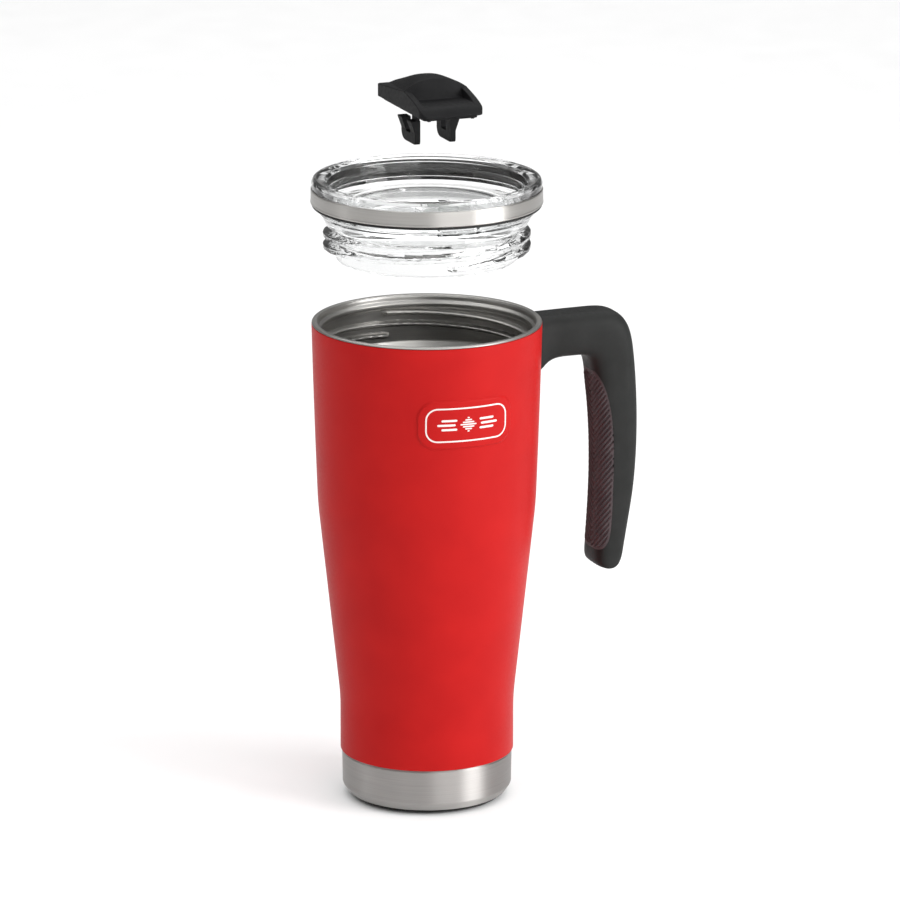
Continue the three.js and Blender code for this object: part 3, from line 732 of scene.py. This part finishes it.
def ribbed(obj):
    """Slanting ribs on the soft insert, as relief on its skin, fading at its border."""
    mesh = obj.data
    border = np.array(insert_outline()[1:-1])
    bm = bmesh.new()
    bm.from_mesh(mesh)
    bmesh.ops.subdivide_edges(bm, edges=bm.edges, cuts=1, use_grid_fill=True)
    bm.normal_update()
    moves = []
    for v in bm.verts:
        x, y, z = (c / MM for c in v.co)
        gap = float(np.min(np.hypot(border[:, 0] - x, border[:, 1] - z)))
        face = v.normal
        if abs(y) < 1 and face.x > 0.5:  # the middle of the buried side stays flat
            continue
        slant = z - RIB_SLANT * (abs(y) + max(0.0, x - RIB_START_X))
        wave = 0.5 + 0.5 * math.cos(2 * math.pi * slant / RIB_PITCH)
        moves.append((v, face.copy(), (wave - 0.75) * RIB_RELIEF * ease((gap - RIB_BORDER) / RIB_FADE)))
    for v, face, amount in moves:
        v.co += face * amount * MM
    bm.to_mesh(mesh)
    bm.free()
    smooth(obj, SOFT_SHARP)
    return obj


def shell_space(name):
    """The shell's outside as a solid, a gap larger and reaching past its top."""
    rows = [(0, HEM_Z), *[(r + SHELL_GAP, z) for r, z in OUTSIDE], (SHELL_TOP_R + SHELL_GAP, 205), (0, 205)]
    return lathe(name, rows, steps=256)


def handle():
    body = handle_body("handle_shell")
    room = prism("insert_room", insert_outline(INSERT_GAP), -INSERT_REACH, INSERT_REACH, axis="y")
    tools = [shell_space("space"), room, block("pocket", (40, -5.5, 180.6), (65, 5.5, 189.4))]
    for x in SCREW_X:
        rows = [(0, -9), (4.1, -9), (4.1, 2.6), (2.3, 2.6), (2.3, 8), (0, 8)]
        hole = lathe("screw_hole", rows, steps=48)
        hole.data.transform(Matrix.Translation(Vector((x, 0, ARM_LOW_Z)) * MM))
        tools.append(hole)
    return clean(cut(body, tools, sharp=HANDLE_SHARP), sharp=HANDLE_SHARP)


def grip_insert():
    body = handle_body("grip_skin", around=160)
    outline = prism("insert_cut", insert_outline(), -INSERT_REACH, INSERT_REACH, axis="y")
    return ribbed(cut(body, [outline], "INTERSECT"))


def screw(index, x):
    """A screw with a cross slot, pointing up."""
    rows = rounded([
        (0, -1.6, 0), (1.5, -1.6, 0.1), (1.5, -2.6, 0.2), (3.1, -2.6, 0.5), (3.8, -1.9, 0.4),
        (3.8, 0, 0.15), (1.75, 0, 0.1), (1.75, 8, 0.1), (1.2, 8.8, 0.1), (0, 8.8, 0)], 0.1, 4, closed=False)
    body = lathe(f"handle_screw_head_{index}", rows, steps=64)
    tools = [block("slot", (-2.1, -0.4, -3), (2.1, 0.4, -1.5)),
             block("slot", (-0.4, -2.1, -3), (0.4, 2.1, -1.5))]
    body = cut(body, tools)
    body.data.transform(Matrix.Translation(Vector((x, 0, ARM_LOW_Z + 2.3)) * MM))
    return body


placed(handle(), "mug", CHARCOAL, ["handle"])
placed(grip_insert(), "mug", GRIP, ["grip_insert"])
for number, screw_x in enumerate(SCREW_X, 1):
    placed(screw(number, screw_x), "mug", HIDDEN_STEEL, [f"handle_screw_{number}"])


# ---------------------------------------------------------------- lid
def lid_body():
    rows = [
        (0, DECK_Z - DECK_THICKNESS, 0), (31.4, DECK_Z - DECK_THICKNESS, 1.0), (33.4, 237.4, 1.2),
        (33.5, 220.0, 0.4), (34.1, SKIRT_Z, 0.4), (35.1, SKIRT_Z, 0.5), (SKIRT_R, 220.2, 0.5),
        (SKIRT_R, 230.8, 0.6), (37.2, 231.8, 0.8), (39.4, 233.4, 1.0), (40.9, 236.4, 1.2),
        (41.2, 237.4, 0.8), (LID_NECK, 238.6, 0.6), (LID_NECK, 242.7, 0.15), (44.6, 242.7, 0.15),
        (44.6, 248.3, 0.1), (45.2, 248.3, 0.15), (45.2, 250.2, 0.8), (44.6, 251.5, 0.8),
        (43.4, RIM_Z, 1.0), (40.2, 250.9, 0.8), (39.1, 249.7, 0.8), (38.75, 247.0, 0.3),
        (38.55, 246.8, 0.2), (38.3, 243.6, 0.8), (37.9, 242.2, 0.6), (36.4, DECK_Z, 0.8),
        (31.6, DECK_Z, 0.1), (31.3, 241.25, 0.1), (0, 241.25, 0)]
    profile = dense(rounded(rows, 0.2, 5, closed=False), 0.3, 221.0, 236.0)
    closed_low = LINER_THREAD_TOP - THREAD_SEAT - LEAD + LID_TRAVEL
    low = closed_low + LEAD * ((LID_THREAD_START - LINER_THREAD_END) / 360 - 0.5)

    def relief(azimuth, r, z):
        if r < SKIRT_R - 0.7 or not 220.3 < z < 236.5:
            return r
        share = max(helix_bead(azimuth, z, LID_THREAD_START + 180 * k, low, LID_BEAD, LID_BEAD_TAPER)
                    for k in (0, 1))
        return max(r, SKIRT_R + (LID_CREST - SKIRT_R) * crest(share, 1.2, 0.75))

    body = lathe("lid_clear", profile, steps=320, relief=relief)
    tools = []
    inner, high_y = LEG_INNER - SLOT_MARGIN, LEG_REAR + SLOT_MARGIN
    sliding = (NECK_OUTER + SLOT_MARGIN, LEG_FRONT - SLIDER_STROKE - SLOT_MARGIN)
    dropping = (HOOK_OUTER + SLOT_MARGIN, LEG_FRONT - SLOT_MARGIN)
    for side in (-1, 1):
        for outer, low_y in (sliding, dropping):
            wide, middle = outer - inner, side * (inner + outer) / 2
            outline = rounded_rectangle(middle, (low_y + high_y) / 2, wide, high_y - low_y, 0.5, 4)
            tools.append(prism("slot", outline, *DECK_CUT))
    tools.append(prism("drink", rounded_rectangle(*DRINK_HOLE, 12), *DECK_CUT))
    low_z, high_z = DECK_CUT
    vent = lathe("vent", [(0, low_z), (VENT_R, low_z), (VENT_R, high_z), (0, high_z)], steps=32)
    vent.data.transform(Matrix.Translation(Vector((0, VENT_Y, 0)) * MM))
    tools.append(vent)
    ribs = [prism("rib", rounded_rectangle(side * 10.7, -24, 1.2, 18, 0.55, 4), 240.6, 242.4)
            for side in (-1, 1)]
    body = cut(body, ribs, "UNION")
    return flattened(clean(cut(body, tools)))


def trim_ring():
    rows = rounded([
        (43.0, 241.9, 0.15), (45.2, 241.9, 0.3), (45.72, 242.35, 0.35), (45.55, 243.1, 0.5),
        (45.5, 247.5, 0.5), (45.25, 248.0, 0.25), (44.95, 248.0, 0.1), (44.95, 242.45, 0.1),
        (43.0, 242.4, 0.1)], 0.2, 6)
    return lathe("trim_band", rows, steps=256)


def lid_gasket():
    rows = rounded([(42.8, 241.0, 0.1), (43.1, 240.8, 0.2), (44.8, 240.8, 0.35), (45.15, 241.15, 0.3),
                    (45.05, 241.6, 0.15), (42.8, 241.6, 0.1)], 0.2, 5)
    return lathe("gasket_ring", rows, steps=200)


def slide_seal():
    pad = prism("seal_pad", rounded_rectangle(0, -22.6, 18.6, 8.8, 2.6, 10), DECK_Z + 0.2, DECK_Z + 0.95)
    key = prism("seal_key", rounded_rectangle(0, -22.75, 8, 2.5, 0.6, 5), DECK_Z + 0.6, DECK_Z + 2.4)
    return moulded(join("seal_pad_silicone", [pad, key]), 0.12, 2)


placed(lid_body(), "lid", CLEAR, ["lid_body"])
band = placed(trim_ring(), "lid", TRIM_STEEL, ["trim_ring"])
band.data.materials.append(BAND_PAINTED_REFLECTION)
for face in band.data.polygons:  # the side of the band that is seen through the clear lid gets a painted reflection: dark steel standing in for the dark inside that it mirrors
    if face.normal.xy.dot(face.center.xy.normalized()) < -0.5:
        face.material_index = 1
placed(lid_gasket(), "gasket", BLACK, ["lid_gasket"])
placed(slide_seal(), "seal", SILICONE, ["slide_seal"])


# ---------------------------------------------------------------- slider
def slider_outline(inset=0.0):
    w, nose, tail = SLIDER_W - inset, SLIDER_NOSE + inset, SLIDER_TAIL - inset
    front = NOSE_W - inset / 2
    points = [(-w + 1.2, tail), (-w, tail - 1.2), (-w, SHOULDER_Y)]
    points += quadratic(points[-1], (-w, nose), (-front, nose), 10)
    points.append((front, nose))
    points += quadratic(points[-1], (w, nose), (w, SHOULDER_Y), 10)
    points += [(w, tail - 1.2), (w - 1.2, tail)]
    return points


# Heights above the cap's lower edge along Y: dome's ridge, side rims, thumb recess's floor.
RIDGE = [(SLIDER_TAIL, 6.2), (12, 8.9), (5, 10.9), (0, 11.8), (-4, 11.9), (ARCH_Y, 11.6)]
RIM = [(ARCH_Y, 7.5), (-15, 6.4), (-20.6, 5.0), (SHOULDER_Y, 3.6), (-27, 2.4), (SLIDER_NOSE, 0.8)]
RECESS = [(ARCH_Y, 3.9), (-14.5, 3.9), (-21.5, 4.1), (-24.2, 3.7), (-27, 2.4), (SLIDER_NOSE, 0.8)]
WALL_SLOPE = 0.3  # the arch's wall leans forward this much for each mm of drop


def curve_through(stations, at):
    """Smooth value through stations of (y, value), by cubic Hermite pieces."""
    xs, ys = (np.array(v, float) for v in zip(*sorted(stations)))
    at = float(np.clip(at, xs[0], xs[-1]))
    slopes = np.gradient(ys, xs)
    i = int(np.clip(np.searchsorted(xs, at) - 1, 0, len(xs) - 2))
    h = xs[i + 1] - xs[i]
    t = (at - xs[i]) / h
    return ((2 * t ** 3 - 3 * t ** 2 + 1) * ys[i] + (t ** 3 - 2 * t ** 2 + t) * h * slopes[i]
            + (3 * t ** 2 - 2 * t ** 3) * ys[i + 1] + (t ** 3 - t ** 2) * h * slopes[i + 1])


def slider_cap():
    """Domed cap with a thumb recess in front of the arch, hollowed below for the lip."""
    across = sorted({*np.linspace(-SLIDER_W, SLIDER_W, 45), -RECESS_W - 0.25, -RECESS_W + 0.25,
                     RECESS_W - 0.25, RECESS_W + 0.25}, reverse=True)
    along = sorted({*np.linspace(SLIDER_NOSE - 0.4, SLIDER_TAIL + 0.4, 110),
                    ARCH_Y, ARCH_Y + 0.3, ARCH_Y - 0.3})
    rings = []
    for y in along:
        share = min(1.0, max(0.0, (SLIDER_TAIL - y) / (SLIDER_TAIL - ARCH_Y)))
        ramp, foot = 5 + 2.5 * share, 7.6 + (SLIDER_W - 7.6) * share
        ridge, rim, floor_z = (curve_through(c, y) for c in (RIDGE, RIM, RECESS))
        ring = [(-SLIDER_W, y, SLIDER_Z), (SLIDER_W, y, SLIDER_Z)]
        for x in across:
            height = ramp + max(0.0, (ridge - ramp) * (1 - (abs(x) / foot) ** 2.5))
            if y < ARCH_Y:
                edge = ease((abs(x) - RECESS_W) / 0.5 + 0.5)
                recess = floor_z + (max(rim, floor_z) - floor_z) * edge
                height = max(recess, height - (ARCH_Y - y) / WALL_SLOPE)
            ring.append((x, y, SLIDER_Z + height))
        rings.append(ring)
    body = loft("slider_cap_shell", rings)
    footprint = prism("footprint", slider_outline(), SLIDER_Z - 1, SLIDER_Z + 15)
    room = prism("lip_room", slider_outline(1.5), SLIDER_Z - 1, SLIDER_Z + 0.9)
    body = cut(body, [footprint], "INTERSECT")
    body = cut(body, [room])
    return moulded(body, 0.16, 4)


def leg_outline():
    """Side of a leg in (y, z): two prongs joined at the foot."""
    points = [(LEG_FRONT, HOOK_Z), (LEG_FRONT, FOOT_Z + 1.4)]
    points += quadratic(points[-1], (LEG_FRONT, FOOT_Z), (LEG_FRONT + 1.6, FOOT_Z))
    points.append((REAR_PRONG_START, FOOT_Z))
    points += quadratic(points[-1], (LEG_REAR, FOOT_Z), (LEG_REAR, FOOT_Z + 4.5))
    points += [(LEG_REAR, HOOK_Z), (REAR_PRONG_START, HOOK_Z), (0.8, FOOT_Z + 4.6)]
    points += quadratic(points[-1], (0.8, FOOT_Z + 4), (0.2, FOOT_Z + 4), 4)
    points.append((-3.6, FOOT_Z + 4))
    points += quadratic(points[-1], (FRONT_PRONG_END, FOOT_Z + 4), (FRONT_PRONG_END, FOOT_Z + 4.6), 4)
    points.append((FRONT_PRONG_END, HOOK_Z))
    return points


def hook(side, front, rear):
    """Wedge on the outside of a leg, widest at its top."""
    inner, outer = side * (LEG_OUTER - 0.6), side * HOOK_OUTER
    return loft("hook", [[(inner, y, FOOT_Z + 3), (outer, y, HOOK_Z - 0.6), (outer, y, HOOK_Z),
                          (inner, y, HOOK_Z)] for y in (front, rear)])


def slider_base():
    lip = prism("lip", slider_outline(1.9), BASE_Z, SLIDER_Z + 0.6)
    lip = cut(lip, [block("key_room", (-4.4, -24.4, BASE_Z - 1), (4.4, -21.1, SLIDER_Z + 1))])
    parts = [lip]
    for side in (-1, 1):
        blade = sorted((side * LEG_INNER, side * LEG_OUTER))
        neck = sorted((side * LEG_INNER, side * NECK_OUTER))
        parts.append(loft("blade", [[(x, y, z) for y, z in leg_outline()] for x in blade]))
        parts.append(block("neck", (neck[0], LEG_FRONT + 0.6, HOOK_Z - 1),
                           (neck[1], FRONT_PRONG_END, BASE_Z + 0.5)))
        parts += [hook(side, LEG_FRONT, FRONT_PRONG_END), hook(side, REAR_PRONG_START, LEG_REAR)]
        toe_low = (side * 9 - 0.6, SLIDER_NOSE + 2.4, BASE_Z - 0.4)
        toe_high = (side * 9 + 0.6, SLIDER_NOSE + 3.8, BASE_Z + 0.5)
        parts.append(block("toe", toe_low, toe_high))
    return moulded(join("slider_base_legs", parts), 0.14, 2)


placed(slider_cap(), "slider", SLIDER_CHARCOAL, ["slider_cap"])
placed(slider_base(), "slider", SLIDER_CHARCOAL, ["slider_base"])


# ---------------------------------------------------------------- hidden CAD pieces
for name, finish in (("base_disc", HIDDEN_STEEL), ("evacuation_plug", SEAL_METAL), ("getter", SEAL_METAL),
                     ("handle_bracket", HIDDEN_STEEL)):
    nodes[name].data.materials.clear()
    nodes[name].data.materials.append(finish)


# ---------------------------------------------------------------- floor, light, camera
def floor():
    mesh = bpy.data.meshes.new("floor")
    corners = ((-1, -1), (1, -1), (1, 1), (-1, 1))
    mesh.from_pydata([(x * FLOOR_SIDE, y * FLOOR_SIDE, -FLOOR_DROP) for x, y in corners], [], [(0, 1, 2, 3)])
    obj = bpy.data.objects.new("floor", mesh)
    scene.collection.objects.link(obj)
    f = Finish("pale_floor", Specular_IOR_Level=0.25)
    f.color(f.noise(3, 2), (0.90, 0.90, 0.90), (0.92, 0.92, 0.92))
    f.roughness(f.noise(40, 2), 0.42, 0.5)
    mesh.materials.append(f.material)


def area_light(name, at, aim, size, watts):
    data = bpy.data.lights.new(name, "AREA")
    data.shape, data.size, data.size_y = "RECTANGLE", size[0], size[1]
    data.energy = watts
    obj = bpy.data.objects.new(name, data)
    obj.location = at
    obj.rotation_mode = "QUATERNION"
    obj.rotation_quaternion = (Vector(aim) - Vector(at)).to_track_quat("-Z", "Y")
    scene.collection.objects.link(obj)


def around(azimuth, distance, height):
    """A place in metres, its azimuth counted from -Y towards +X."""
    a = math.radians(azimuth)
    return distance * math.sin(a), -distance * math.cos(a), height


def world_light():
    """Even studio light: white where it is seen, dimmer on matt surfaces, dimmest in reflections."""
    world = bpy.data.worlds.new("studio")
    world.use_nodes = True
    tree = world.node_tree
    back = tree.nodes["Background"]
    back.inputs["Color"].default_value = (1, 1, 1, 1)
    path = tree.nodes.new("ShaderNodeLightPath")
    seen = tree.nodes.new("ShaderNodeMath")
    seen.operation = "MAXIMUM"
    tree.links.new(path.outputs["Is Camera Ray"], seen.inputs[0])
    tree.links.new(path.outputs["Is Transmission Ray"], seen.inputs[1])
    dim = tree.nodes.new("ShaderNodeMapRange")
    dim.inputs["To Min"].default_value = WORLD_IN_GLOSS
    dim.inputs["To Max"].default_value = WORLD_ON_MATT
    tree.links.new(path.outputs["Is Diffuse Ray"], dim.inputs["Value"])
    strength = tree.nodes.new("ShaderNodeMix")
    strength.data_type = "FLOAT"
    strength.inputs["B"].default_value = 1.0
    tree.links.new(seen.outputs["Value"], strength.inputs["Factor"])
    tree.links.new(dim.outputs["Result"], strength.inputs["A"])
    tree.links.new(strength.outputs["Result"], back.inputs["Strength"])
    scene.world = world


def camera():
    data = bpy.data.cameras.new("camera")
    data.lens, data.sensor_width = 261.8, 36.0
    data.shift_x = 0.0257
    data.clip_start, data.clip_end = 0.05, 60
    obj = bpy.data.objects.new("camera", data)
    obj.location = around(CAMERA_AZIMUTH, CAMERA_DISTANCE, CAMERA_HEIGHT)
    obj.rotation_euler = (math.radians(90 - CAMERA_TILT), 0, math.radians(CAMERA_AZIMUTH))
    scene.collection.objects.link(obj)
    scene.camera = obj


floor()
world_light()
area_light("softbox_top", (0.0, 0.3, 3.2), (0, 0.3, 0), (6.5, 6.5), 200)
area_light("softbox_right", around(44, 1.5, 0.6), (0, 0, 0.12), (0.8, 1.2), 20)
area_light("softbox_front", around(4, 1.6, 0.7), (0, 0, 0.12), (1.0, 1.2), 7)
area_light("softbox_left", around(-110, 1.5, 0.5), (0, 0, 0.12), (0.3, 1.0), 0.6)
camera()
scene.view_settings.view_transform = "Standard"
